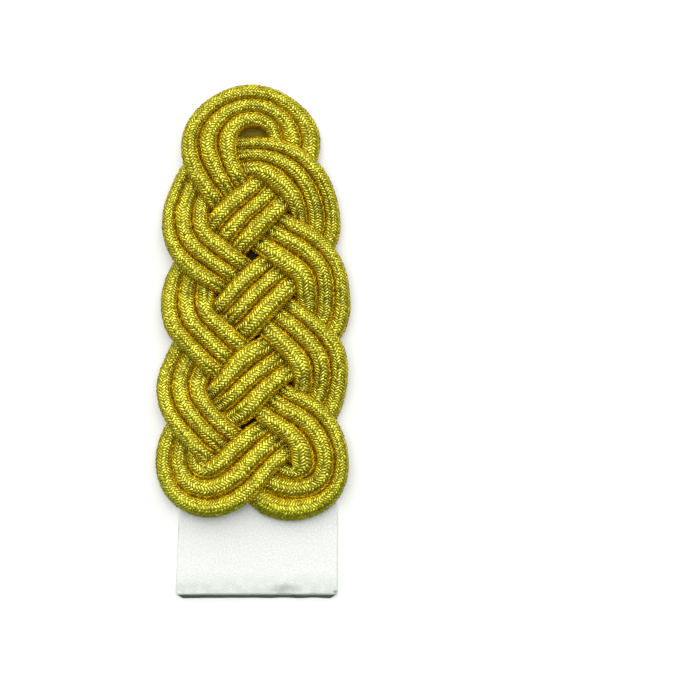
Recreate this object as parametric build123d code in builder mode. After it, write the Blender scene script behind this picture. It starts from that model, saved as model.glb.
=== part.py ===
from build123d import *

import os
from collections import namedtuple

import numpy as np

# A shoulder board: three round braided cords lie side by side as one band, and the band is
# plaited into a flat knot with a loop and a small eye at its top, four lobes down each side and
# two foot loops. The knot lies on a felt backing, whose tongue shows below the foot loops.
# Millimetres. The board lies flat, +Z is up and +Y points to the top loop. The origin is the
# middle of the board, on the underside of the backing.

# Driving sizes of the knot
knot_width = 57.6
knot_length = 130.4
cord_diameter = 4.2
cord_room = 4.4
cord_side_clearance = 0.15
cord_crossing_clearance = 0.3
cord_end_gap = 0.4

# Driving sizes of the felt backing
felt_thickness = 2.5
felt_edge_round = 0.5
tongue_reach = 22.8
tongue_width = 48.6
tongue_shift = 1.3
tongue_corner = 1.5
neck_width = 35.0
seat_clearance = 0.1

# Driving sizes of the eye, which a button's shank goes through
eye_length = 7.0
eye_width = 2.4

# Longest stretch of a cord between two points of its path
knot_step = 9.0

# Worked out from the driving sizes
knot_middle = tongue_reach / 2
lower_edge = -(knot_length + tongue_reach) / 2
least_side_step = cord_diameter + cord_side_clearance
low_level = felt_thickness + seat_clearance + cord_diameter / 2
high_level = low_level + cord_diameter + cord_crossing_clearance

# The route of the band, chosen by hand, in the order in which it is plaited from the top loop.
# A crossing is named twice, once for the pass that goes over and once for the one beneath it.
# across and along are shares of the knot's width and length, from the middle of the knot.
# left, middle and right are the room of the three cords, seen along the route, as shares of
# the room a cord takes where nothing spreads it.
Station = namedtuple("Station", "place level across along left middle right")
route = [
    Station("loop_top", "", 0.000, 0.452, 1.00, 0.90, 0.90),
    Station("loop_northwest", "", -0.159, 0.428, 1.15, 1.05, 1.00),
    Station("loop_west", "", -0.227, 0.372, 1.35, 1.35, 1.10),
    Station("left_1", "over", -0.206, 0.323, 1.15, 1.25, 1.30),
    Station("left_1_leaving", "", -0.135, 0.268, 1.10, 1.00, 1.25),
    Station("centre_1", "under", -0.026, 0.203, 1.10, 1.10, 1.10),
    Station("centre_1_leaving", "", 0.115, 0.161, 0.95, 1.10, 1.35),
    Station("right_2", "over", 0.271, 0.120, 0.95, 1.15, 1.55),
    Station("lobe_right_2_start", "", 0.357, 0.080, 0.80, 1.15, 1.50),
    Station("lobe_right_2", "", 0.384, 0.016, 0.95, 1.15, 1.10),
    Station("lobe_right_2_end", "", 0.365, -0.037, 1.00, 1.10, 1.10),
    Station("right_3", "under", 0.286, -0.085, 1.10, 1.10, 1.10),
    Station("centre_3", "over", 0.000, -0.174, 1.30, 1.10, 1.30),
    Station("centre_3_leaving", "", -0.089, -0.212, 1.25, 1.10, 1.15),
    Station("left_4", "under", -0.279, -0.279, 1.10, 1.10, 1.10),
    Station("lobe_left_4", "", -0.381, -0.369, 1.00, 1.10, 1.00),
    Station("foot_left_corner", "", -0.339, -0.413, 0.95, 1.20, 1.20),
    Station("foot_left", "", -0.240, -0.430, 0.80, 1.35, 1.35),
    Station("foot_left_leaving", "", -0.122, -0.413, 1.15, 1.35, 1.30),
    Station("centre_4", "over", -0.021, -0.373, 1.30, 1.35, 1.15),
    Station("centre_4_leaving", "", 0.073, -0.334, 1.00, 1.30, 1.00),
    Station("right_4", "under", 0.268, -0.270, 1.10, 1.10, 1.10),
    Station("lobe_right_3_start", "", 0.352, -0.203, 1.10, 1.15, 1.05),
    Station("lobe_right_3", "", 0.362, -0.162, 1.10, 1.25, 1.10),
    Station("lobe_right_3_end", "", 0.344, -0.123, 1.35, 1.25, 1.05),
    Station("right_3", "over", 0.286, -0.085, 1.50, 1.25, 0.95),
    Station("right_3_leaving", "", 0.161, -0.037, 1.35, 1.15, 0.90),
    Station("centre_2", "under", 0.010, 0.017, 1.10, 1.10, 1.10),
    Station("centre_2_leaving", "", -0.096, 0.057, 0.95, 1.10, 1.05),
    Station("left_2", "over", -0.232, 0.101, 1.30, 1.05, 1.15),
    Station("lobe_left_1_start", "", -0.333, 0.147, 1.00, 1.15, 1.10),
    Station("lobe_left_1", "", -0.357, 0.193, 0.80, 1.25, 1.10),
    Station("lobe_left_1_end", "", -0.336, 0.241, 0.80, 1.10, 1.00),
    Station("left_1", "under", -0.206, 0.323, 1.10, 1.10, 1.10),
    Station("top_strand_start", "", -0.052, 0.343, 0.75, 0.90, 0.80),
    Station("top_strand", "", 0.052, 0.339, 0.80, 0.80, 1.00),
    Station("right_1", "over", 0.182, 0.316, 0.90, 1.00, 1.50),
    Station("lobe_right_1_start", "", 0.286, 0.264, 0.90, 1.10, 1.30),
    Station("lobe_right_1", "", 0.333, 0.207, 0.90, 1.25, 1.10),
    Station("lobe_right_1_end", "", 0.328, 0.161, 0.95, 1.15, 1.10),
    Station("right_2", "under", 0.271, 0.120, 1.10, 1.10, 1.10),
    Station("centre_2", "over", 0.010, 0.017, 1.50, 1.10, 1.25),
    Station("centre_2_end", "", -0.104, -0.035, 1.10, 1.10, 1.10),
    Station("left_3", "under", -0.234, -0.083, 1.10, 1.10, 1.10),
    Station("lobe_left_3_start", "", -0.354, -0.148, 1.00, 1.15, 0.90),
    Station("lobe_left_3", "", -0.375, -0.199, 1.05, 1.15, 1.00),
    Station("lobe_left_3_end", "", -0.336, -0.246, 1.10, 1.25, 1.10),
    Station("left_4", "over", -0.279, -0.279, 1.10, 1.10, 1.25),
    Station("left_4_leaving", "", -0.182, -0.322, 1.10, 1.15, 1.15),
    Station("centre_4", "under", -0.021, -0.373, 1.10, 1.10, 1.10),
    Station("foot_right_start", "", 0.120, -0.421, 1.00, 1.35, 1.45),
    Station("foot_right", "", 0.245, -0.429, 0.80, 1.30, 1.45),
    Station("foot_right_corner", "", 0.340, -0.410, 0.80, 1.35, 1.05),
    Station("lobe_right_4", "", 0.383, -0.364, 0.90, 1.35, 0.90),
    Station("lobe_right_4_end", "", 0.346, -0.314, 1.25, 1.30, 0.85),
    Station("right_4", "over", 0.268, -0.270, 1.35, 1.30, 0.80),
    Station("right_4_leaving", "", 0.130, -0.232, 1.25, 1.15, 0.90),
    Station("centre_3", "under", 0.000, -0.174, 1.10, 1.10, 1.10),
    Station("centre_3_end", "", -0.133, -0.126, 1.25, 1.20, 1.20),
    Station("left_3", "over", -0.234, -0.083, 1.25, 1.15, 1.15),
    Station("lobe_left_2_start", "", -0.320, -0.033, 1.25, 1.20, 1.00),
    Station("lobe_left_2", "", -0.341, 0.011, 1.10, 1.15, 1.10),
    Station("lobe_left_2_end", "", -0.326, 0.048, 0.95, 1.10, 1.00),
    Station("left_2", "under", -0.232, 0.101, 1.10, 1.10, 1.10),
    Station("centre_1_start", "", -0.094, 0.172, 1.25, 1.15, 1.30),
    Station("centre_1", "over", -0.026, 0.203, 1.30, 1.05, 1.35),
    Station("centre_1_end", "", 0.062, 0.238, 1.15, 1.00, 1.25),
    Station("right_1", "under", 0.182, 0.316, 1.10, 1.10, 1.10),
    Station("loop_east", "", 0.211, 0.379, 1.00, 1.25, 1.25),
    Station("loop_northeast", "", 0.143, 0.432, 1.00, 1.00, 0.90),
]

# Straight pieces that stand for one stretch between stations when crossings are looked for
stretch_pieces = 16


def smooth_slopes(points):
    """Slopes, per millimetre of chord, of the smooth closed curve through the points."""
    count = len(points)
    chord = np.linalg.norm(np.roll(points, -1, axis=0) - points, axis=1)
    system = np.zeros((count, count))
    wanted = np.zeros(points.shape)
    for here in range(count):
        before, after = chord[here - 1], chord[here]
        following = (here + 1) % count
        system[here, here - 1] = after
        system[here, here] = 2 * (before + after)
        system[here, following] = before
        rise_after = (points[following] - points[here]) * before / after
        rise_before = (points[here] - points[here - 1]) * after / before
        wanted[here] = 3 * (rise_after + rise_before)
    return np.linalg.solve(system, wanted)


class ClosedCurve:
    """A smooth closed curve in plan, whose place is counted in stretches from its first point."""

    def __init__(self, points):
        self.points = points
        self.slopes = smooth_slopes(points)
        self.count = len(points)
        self.fine = (np.arange(self.count * stretch_pieces + 1) + 0.5) / stretch_pieces
        self.polyline = np.array([self.at(place)[0] for place in self.fine])
        pieces = np.linalg.norm(np.diff(self.polyline, axis=0), axis=1)
        self.run = np.concatenate([[0], np.cumsum(pieces)])
        self.length = self.run[-1]

    def at(self, place):
        """The point and the direction at a place."""
        stretch = int(place) % self.count
        share = place - int(place)
        following = (stretch + 1) % self.count
        start, end = self.points[stretch], self.points[following]
        chord = np.linalg.norm(end - start)
        leave, arrive = self.slopes[stretch] * chord, self.slopes[following] * chord
        bend = 2 * start - 2 * end + leave + arrive
        lean = 3 * end - 3 * start - 2 * leave - arrive
        point = ((bend * share + lean) * share + leave) * share + start
        direction = (3 * bend * share + 2 * lean) * share + leave
        return point, direction / np.linalg.norm(direction)

    def distance(self, place):
        """Millimetres along the curve to a place."""
        first = self.fine[0]
        return np.interp((place - first) % self.count + first, self.fine, self.run)

    def place(self, distance):
        """The place that lies a number of millimetres along the curve."""
        return np.interp(distance % self.length, self.run, self.fine)


def cross_product(one, two):
    return one[..., 0] * two[..., 1] - one[..., 1] * two[..., 0]


def crossing_places(first, second):
    """Pairs of places where two curves, or one curve and itself, cross in plan."""
    start, step = first.polyline[:-1], np.diff(first.polyline, axis=0)
    other, stride = second.polyline[:-1], np.diff(second.polyline, axis=0)
    between = other[None] - start[:, None]
    turn = cross_product(step[:, None], stride[None])
    with np.errstate(divide="ignore", invalid="ignore"):
        share = cross_product(between, stride[None]) / turn
        other_share = cross_product(between, step[:, None]) / turn
    hit = (share >= 0) & (share < 1) & (other_share >= 0) & (other_share < 1)
    pairs = []
    for here, there in zip(*np.nonzero(hit)):
        apart = abs(int(here) - int(there))
        neighbours = first is second and min(apart, len(start) - apart) < 3
        if neighbours or (first is second and here > there):
            continue
        here_place = (here + 0.5 + share[here, there]) / stretch_pieces
        there_place = (there + 0.5 + other_share[here, there]) / stretch_pieces
        pairs.append((here_place, there_place))
    return pairs


def level_near(place):
    """Whether the band goes over or under at the crossing nearest to a place."""
    count = len(route)

    def apart(index):
        return min((index - place) % count, (place - index) % count)

    nearest = min((i for i in range(count) if route[i].level), key=apart)
    return high_level if route[nearest].level == "over" else low_level


def band_curves():
    """The three cords in plan: left, middle and right, seen along the route."""
    middles = np.array(
        [(s.across * knot_width, s.along * knot_length + knot_middle) for s in route]
    )
    slopes = smooth_slopes(middles)
    headings = slopes / np.linalg.norm(slopes, axis=1)[:, None]
    to_left = np.column_stack([-headings[:, 1], headings[:, 0]])
    left_room = [(s.left + s.middle) / 2 * cord_room for s in route]
    right_room = [(s.right + s.middle) / 2 * cord_room for s in route]
    left_step = np.maximum(left_room, least_side_step)[:, None]
    right_step = np.maximum(right_room, least_side_step)[:, None]
    return [
        ClosedCurve(middles + to_left * left_step),
        ClosedCurve(middles),
        ClosedCurve(middles - to_left * right_step),
    ]


def cord_levels(curves):
    """For each cord, a sorted list of its crossings as (millimetres along it, height there)."""
    levels = [[] for _ in curves]
    for one in range(len(curves)):
        for two in range(one, len(curves)):
            for here, there in crossing_places(curves[one], curves[two]):
                levels[one].append((curves[one].distance(here), level_near(here)))
                levels[two].append((curves[two].distance(there), level_near(there)))
    return [sorted(found) for found in levels]


def climb_height(run, rise, share):
    """Height after a share of a climb made of two equal arcs that bend opposite ways."""
    slope = 2 * np.arctan2(abs(rise), run)
    radius = run / (2 * np.sin(slope))
    near = min(share, 1 - share) * run
    height = radius - np.sqrt(radius**2 - near**2)
    height = height if share < 0.5 else abs(rise) - height
    return height * np.sign(rise)


def height_at(distance, crossings, length):
    """Height of a cord's middle: level at its crossings, with a climb where the level changes."""
    for index, (start, low) in enumerate(crossings):
        end, high = crossings[(index + 1) % len(crossings)]
        run = (end - start) % length
        beyond = (distance - start) % length
        if beyond <= run:
            return low + (climb_height(run, high - low, beyond / run) if high != low else 0)
    return low_level


def path_distances(crossings, length, start):
    """Places along a cord for the points of its path: the ends and middle of each climb, and
    enough between them that no stretch is longer than the step."""
    marks = {0.0, length - cord_end_gap}
    for index, (here, level) in enumerate(crossings):
        there, next_level = crossings[(index + 1) % len(crossings)]
        run = (there - here) % length
        if level != next_level:
            for share in (0, 0.25, 0.5, 0.75, 1):
                marks.add((here + share * run - start) % length)
    marks = sorted(m for m in marks if m <= length - cord_end_gap)
    spread = [marks[0]]
    for mark in marks[1:]:
        gap = mark - spread[-1]
        if gap < cord_diameter / 4:
            continue
        pieces = int(np.ceil(gap / knot_step))
        spread += [spread[-1] + gap * k / pieces for k in range(1, pieces + 1)]
    spread[-1] = length - cord_end_gap
    return [(start + m) % length for m in spread]


def cord_path(curve, crossings, start):
    """Points and directions in space along one cord, from its first cut end to its second."""
    nudge = 0.01

    def spot(distance):
        point, _ = curve.at(curve.place(distance))
        return Vector(*point, height_at(distance % curve.length, crossings, curve.length))

    distances = path_distances(crossings, curve.length, start)
    points = [spot(d) for d in distances]
    directions = [(spot(d + nudge) - spot(d - nudge)).normalized() for d in distances]
    return points, directions


def meeting_point(start, leave, end, arrive):
    """Where two arcs meet that leave start and reach end in the given directions."""
    chord = end - start
    both = leave + arrive
    twist = 2 * (1 - leave.dot(arrive))
    reach = chord.dot(both)
    if twist < 1e-6:
        handle = chord.dot(chord) / (2 * reach)
    else:
        handle = (-reach + (reach**2 + twist * chord.dot(chord)) ** 0.5) / twist
    return (start + end + (leave - arrive) * handle) * 0.5


def add_arc(start, leave, end):
    """Adds the arc from start to end that leaves in the given direction, or a straight line."""
    chord = end - start
    sideways = leave - chord * (leave.dot(chord) / chord.dot(chord))
    if sideways.length < 1e-5:
        Line(start, end)
    else:
        TangentArc(start, end, tangent=leave)


def export_cord(label, curve, crossings, start):
    """One round cord swept along its whole route, written under its label."""
    points, directions = cord_path(curve, crossings, start)
    with BuildPart() as cord:
        with BuildLine() as path:
            for k in range(len(points) - 1):
                middle = meeting_point(points[k], directions[k], points[k + 1], directions[k + 1])
                add_arc(points[k], directions[k], middle)
                turned = (middle - points[k]).normalized()
                arriving = turned * (2 * directions[k].dot(turned)) - directions[k]
                add_arc(middle, arriving, points[k + 1])
        with BuildSketch(Plane(origin=points[0], z_dir=directions[0])) as section:
            Circle(cord_diameter / 2)
        sweep()
    cord.part.label = label
    export_step(cord.part, f"parts/{label}.step")
    print(label, "path", round(path.wire().length, 1), "volume", round(cord.part.volume, 1))


os.makedirs("parts", exist_ok=True)

curves = band_curves()
crossings = cord_levels(curves)
cut_station = next(i for i, s in enumerate(route) if s.place == "left_1" and s.level == "under")
for label, curve, found in zip(("cord_inner", "cord_middle", "cord_outer"), curves, crossings):
    print(label, "crossings", len(found))
    export_cord(label, curve, found, curve.distance(cut_station))

# The felt backing
neck_height = knot_middle + 0.33 * knot_length
waist_height = knot_middle - 0.15 * knot_length
eye_height = knot_middle + 0.392 * knot_length
tongue_left = tongue_shift - tongue_width / 2
tongue_right = tongue_shift + tongue_width / 2

with BuildPart() as felt_backing:
    with BuildSketch():
        with BuildLine():
            Polyline(
                (-neck_width / 2, neck_height),
                (tongue_left, lower_edge),
                (tongue_right, lower_edge),
                (tongue_right, waist_height),
                (neck_width / 2, neck_height),
            )
            RadiusArc((-neck_width / 2, neck_height), (neck_width / 2, neck_height), neck_width / 2)
        outline = make_face()
        lower_corners = outline.vertices().group_by(Axis.Y)[0]
        fillet(lower_corners, tongue_corner)
        with Locations((0, eye_height)):
            SlotOverall(eye_length, eye_width, mode=Mode.SUBTRACT)
    extrude(amount=felt_thickness)
    fillet(felt_backing.edges().group_by(Axis.Z)[-1], felt_edge_round)

felt_backing.part.label = "felt_backing"
export_step(felt_backing.part, "parts/felt_backing.step")
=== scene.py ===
import math
from collections import namedtuple

import bpy
import numpy as np
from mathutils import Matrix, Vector, noise
from mathutils.geometry import delaunay_2d_cdt


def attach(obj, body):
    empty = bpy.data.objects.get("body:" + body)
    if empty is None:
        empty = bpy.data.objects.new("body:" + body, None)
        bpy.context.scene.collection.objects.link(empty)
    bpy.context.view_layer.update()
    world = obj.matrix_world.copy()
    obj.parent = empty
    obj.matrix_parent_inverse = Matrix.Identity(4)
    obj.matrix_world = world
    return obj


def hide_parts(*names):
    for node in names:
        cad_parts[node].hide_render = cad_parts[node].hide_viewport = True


# A shoulder board seen from above: three gold braided cords plaited as one band into a flat
# knot, on a white felt backing whose tongue shows below the knot.
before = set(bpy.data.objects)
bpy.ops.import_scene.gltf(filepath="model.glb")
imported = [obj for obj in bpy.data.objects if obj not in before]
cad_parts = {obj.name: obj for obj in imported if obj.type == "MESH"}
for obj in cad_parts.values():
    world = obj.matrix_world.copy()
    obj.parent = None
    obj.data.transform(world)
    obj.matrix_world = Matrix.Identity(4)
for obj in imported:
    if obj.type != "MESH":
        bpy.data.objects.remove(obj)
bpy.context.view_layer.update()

MM = 0.001

# Sizes of the knot and its cords, in millimetres, as in the part's source
KNOT_WIDTH = 57.6
KNOT_LENGTH = 130.4
TONGUE_REACH = 22.8
CORD_ROOM = 4.4
CORD_HEIGHT = 4.2
FELT_THICKNESS = 2.5
SEAT_CLEARANCE = 0.1
LEVEL_STEP = 4.5
# How much wider a cord is where it is pressed under another, as a share
PRESSED_WIDER = 0.12

KNOT_MIDDLE = TONGUE_REACH / 2
LOWER_EDGE = -(KNOT_LENGTH + TONGUE_REACH) / 2
LOW_LEVEL = FELT_THICKNESS + SEAT_CLEARANCE + CORD_HEIGHT / 2
HIGH_LEVEL = LOW_LEVEL + LEVEL_STEP

# The braid on a cord, with its sizes in millimetres. The real threads are too fine to show, so
# its floats, the short lengths of thread that lie on top, are drawn as coarse as they need to be.
BRAID_COLUMNS = 12
COLUMN_WIDTH = 1.2
FLOAT_PITCH = 0.9
FLOAT_LENGTH = 1.85
FLOAT_WIDTH = 0.66
FLOAT_THICKNESS = 0.42
CORE_SINK = 0.12
MERGE_DISTANCE = 0.002
# A float is a ball with this many sides and rings, stretched this much and cut off blunt
FLOAT_SIDES = 5
FLOAT_RINGS = 3
FLOAT_STRETCH = 4 / 3
# How far a float leans across the cord, and how far chance turns it from there
FLOAT_LEAN = math.radians(50)
FLOAT_SLACK = math.radians(13)
# How much chance changes the length, width and thickness of a float, as shares of them
FLOAT_SWELL = (0.12, 0.14, 0.25)
# Floats are thinner on the flanks of a cord. Their thickness grows from a share of it to the
# whole between two heights on the cord's section, which goes from -1 below to 1 on the crown.
FLANK_TOP = 0.3
CROWN_FOOT = 0.9
FLANK_THICKNESS = 0.45
# The seed of the first cord's tones, and how much higher the seed of its floats' slack is
FIRST_SEED = 3
SLACK_SEED_STEP = 50

# The rim of the knot, where the cords get olive painted shade on the flanks that face the paper,
# away from the light. Outwards is counted from its spine, which goes down and up from its middle by
# shares of its length. A flank is on the rim where it faces outwards by more than a share, and lies
# further out than a reach in millimetres.
SPINE_DOWN = 0.33
SPINE_UP = 0.34
RIM_FACING = 0.3
RIM_REACH = 14.0
RIM_FADE = 3.0
# How much more painted shade the cord gets at the foot of each loop, where it faces down, away from
# the light
FOOT_SHADE_GAIN = 0.6

# Outline of the felt, in millimetres. Its neck, its waist and the slot under the eye lie above or
# below the knot's middle by a share of its length.
TONGUE_WIDTH = 48.6
TONGUE_SHIFT = 1.3
TONGUE_CORNER = 0.7
NECK_WIDTH = 35.0
NECK_UP = 0.33
WAIST_DOWN = 0.15
EYE_UP = 0.392
EYE_LENGTH = 7.0
EYE_WIDTH = 2.4
OUTLINE_STEP = 0.5
CORNER_STEPS = 4
NECK_STEPS = 59
SLOT_STEPS = 40

# Form of the felt, in millimetres. Its cut end is slanted and ragged, its slot is nearly closed
# at the top, and its surface sags a little, with dips as long as SAG_LENGTH.
FELT_EDGE_ROUND = 0.5
CUT_BAND = 0.2
CUT_SLANT = 1.2
CUT_TAPER = 2.2
RAGGED_HEIGHT = 0.3
RAGGED_LENGTH = 6
SLIT_SHARE = 0.04
SAG_DEPTH = 0.1
SAG_LENGTH = 7

# Points of the felt's mesh, in millimetres: rings along its outline, and a grid clear of them
# and of the slot
RIM_RINGS = (0.1, 0.25, 0.5)
GRID_ACROSS = (-25, 27.5)
GRID_ALONG = (-78, 76)
GRID_STEP = 1.3
RINGS_ROOM = 1.1
SLOT_ROOM = 0.6
SAME_PLACE = 0.01

# The painted shade on the felt under the knot, which shows in the gaps of the plait, in
# millimetres: it stops short of the felt's edges and of the tongue
SHADE_INSET = 3.0
SHADE_EDGE_FADE = 1.5
SHADE_LOW_END = -48.0
SHADE_LOW_FADE = 2.0

# The photograph's frame, in millimetres
VIEW_WIDTH = 210.0
VIEW_CENTRE = (29.4, -3.1)
VIEW_PLANE = 6.0
CAMERA_HEIGHT = 1300.0
FARTHEST = 10000.0

# The floor, in millimetres: it lies just under the felt
FLOOR_SIZE = 4000.0
FLOOR_DROP = 0.05

# How one value follows another: it goes from low to high while the other goes from start to end
Fade = namedtuple("Fade", "start end low high")

# The studio light. Light comes from all around, and more of it from the top of the board than from
# its foot: its share of WORLD_LIGHT follows the Y of its direction. Each lamp is far away, and is
# given by its azimuth, counted from +X towards +Y, and its elevation, both in degrees, by how wide
# it looks in degrees, and by its strength.
WORLD_LIGHT = 1.28
WORLD_SHARES = Fade(-0.4, 0.5, 0.1, 1.8)
LAMPS = (
    ("overhead", 90, 86, 32, 1.54),
    ("key", 105, 70, 36, 0.64),
)

# Colours around a cord, as (height on its section, from -1 below to 1 on the crown, colour). They
# are painted light: the thread goes from amber on the flanks, which stands in for light bounced
# between the cords, to lemon on its lit crown, and the core goes from bright amber on the flanks to
# dark olive on the crown, which stands in for the shade between the floats.
THREAD_PAINTED_LIGHT = (
    (-0.2, "#F4BC10"),
    (0.2, "#ECBC10"),
    (0.6, "#E3C712"),
    (0.78, "#DECE19"),
    (0.9, "#DEDB4C"),
)
CORE_PAINTED_LIGHT = (
    (-0.2, "#EEB00E"),
    (0.2, "#DFAA0E"),
    (0.6, "#D1AC0C"),
    (0.78, "#948A06"),
    (0.9, "#847A06"),
)
# Painted shade: the olive that the gilt takes on where it faces the paper, away from the light, at
# the rim of the knot, and how far it is turned there where the shade starts and where it is full
RIM_SHADE_COLOUR = "#A9AF1A"
RIM_SHADE_START = 0.05
RIM_SHADE_FULL = 1.4

# What darkens the gilt: its own random tone, worn patches and specks, and painted shade where it
# sinks into the cord. Each goes from a low to a high share of its brightness, as a measure goes
# from start to end. They are multiplied, and the darkest gilt takes a dark brown that stands in for
# deep shade and dark tone alike.
SHADE_AND_DARK_TONE_COLOUR = "#6E5E06"
# A float's own tone, which chance gives it
TONE = Fade(0.0, 1.0, 0.48, 1.28)
# Painted shade in the gaps between floats and at their ends, by how far a place stands out of the
# cord
SINK_SHADE = Fade(-0.1 * MM, 0.2 * MM, 0.6, 1.0)
# Painted shade along the parting between the two strands of a float, by how far a place is from it,
# as a share of its width
PARTING_SHADE = Fade(0.01, 0.08, 0.85, 1.0)
PARTING_DEPTH = 0.08
# Worn patches wider than a cord, and specks a little wider than a float, by their sizes in
# millimetres and how their pattern is read
PATCH_SIZE = 7.0
PATCHES = Fade(0.35, 0.65, 0.82, 1.0)
SPECK_SIZE = 1.1
SPECKS = Fade(0.35, 0.6, 0.56, 1.12)

# Colours of the felt, and the sizes of its fibre's tufts and of the grey patches near its lower end
# in millimetres. Single fibres are too fine to show, so the tufts are drawn as coarse as they need
# to be.
FELT_COLOUR = "#C7C9C6"
TUFT_COLOUR = "#AEB2AC"
LOWER_GREY_COLOUR = "#A8AEA5"
# A painted shadow along the felt's cut end
CUT_SHADOW_COLOUR = "#4C574B"
TUFT_SIZE = 0.5
TUFT_DEPTH = 0.3
GREY_PATCH_SIZE = 2.5
# How the patterns of tufts and patches are read
TUFTS = Fade(0.4, 0.62, 0.0, 0.45)
GREY_PATCHES = Fade(0.2, 0.8, 0.35, 1.0)
BLOTCH_PATCHES = Fade(0.3, 0.7, 0.5, 1.0)
# Where the greying towards the lower end and the painted shadow under the cut end start and are
# full, and how far that shadow wanders
LOWER_GREYING = Fade(-69 * MM, LOWER_EDGE * MM, 0.0, 1.0)
CUT_SHADOW = Fade((LOWER_EDGE + 0.25) * MM, (LOWER_EDGE - 0.15) * MM, 0.0, 1.0)
CUT_SHADOW_WANDER = 0.5
# Colours of the painted shade in the gaps of the knot and under the eye, where it is olive with
# reflected gold, and where one becomes the other
GAP_SHADE_COLOUR = "#2A200A"
EYE_SHADE_COLOUR = "#736410"
EYE_SHADE = Fade(45 * MM, 50 * MM, 0.0, 1.0)

# Spots on the tongue, with their middles and half sizes in millimetres, and how deep they go. Their
# share goes from full to none as the distance from the middle does from start to end.
Spot = namedtuple("Spot", "across along half_across half_along colour")
BLOTCH = Spot(9.9, -75.0, 6.5, 2.2, "#90968E")
SMALL_SPOTS = (
    Spot(25.0, -75.8, 1.1, 0.8, "#7C827A"),
    Spot(-22.2, -56.5, 0.35, 3.0, "#98A09A"),
)
SPOT_DEPTH = 0.9
SPOT_FADE = Fade(0.2, 1.0, 1.0, 0.0)

PAPER_COLOUR = "#D2D4D1"

# What the nodes of a braid are given, and what is the same for every cord
BRAID_INPUTS = (
    ("Rows", "Int", None),
    ("Columns", "Int", BRAID_COLUMNS),
    ("Column width", "Float", COLUMN_WIDTH * MM),
    ("Float length", "Float", FLOAT_LENGTH * MM),
    ("Float width", "Float", FLOAT_WIDTH * MM),
    ("Float thickness", "Float", FLOAT_THICKNESS * MM),
    ("Lean", "Float", FLOAT_LEAN),
    ("Slack", "Float", FLOAT_SLACK),
    ("Core sink", "Float", CORE_SINK * MM),
    ("Seed", "Int", None),
    ("Thread", "Material", None),
    ("Core", "Material", None),
)

# Kinds of nodes that are added often
MATH = "ShaderNodeMath"
VECTOR_MATH = "ShaderNodeVectorMath"
MAP_RANGE = "ShaderNodeMapRange"
SEPARATE = "ShaderNodeSeparateXYZ"
COMBINE = "ShaderNodeCombineXYZ"
ATTRIBUTE = "ShaderNodeAttribute"
PATTERN = "ShaderNodeTexNoise"
MIX = "ShaderNodeMix"
PRINCIPLED = "ShaderNodeBsdfPrincipled"
OUTPUT = "ShaderNodeOutputMaterial"
STORE = "GeometryNodeStoreNamedAttribute"
STORED = "GeometryNodeInputNamedAttribute"

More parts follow.
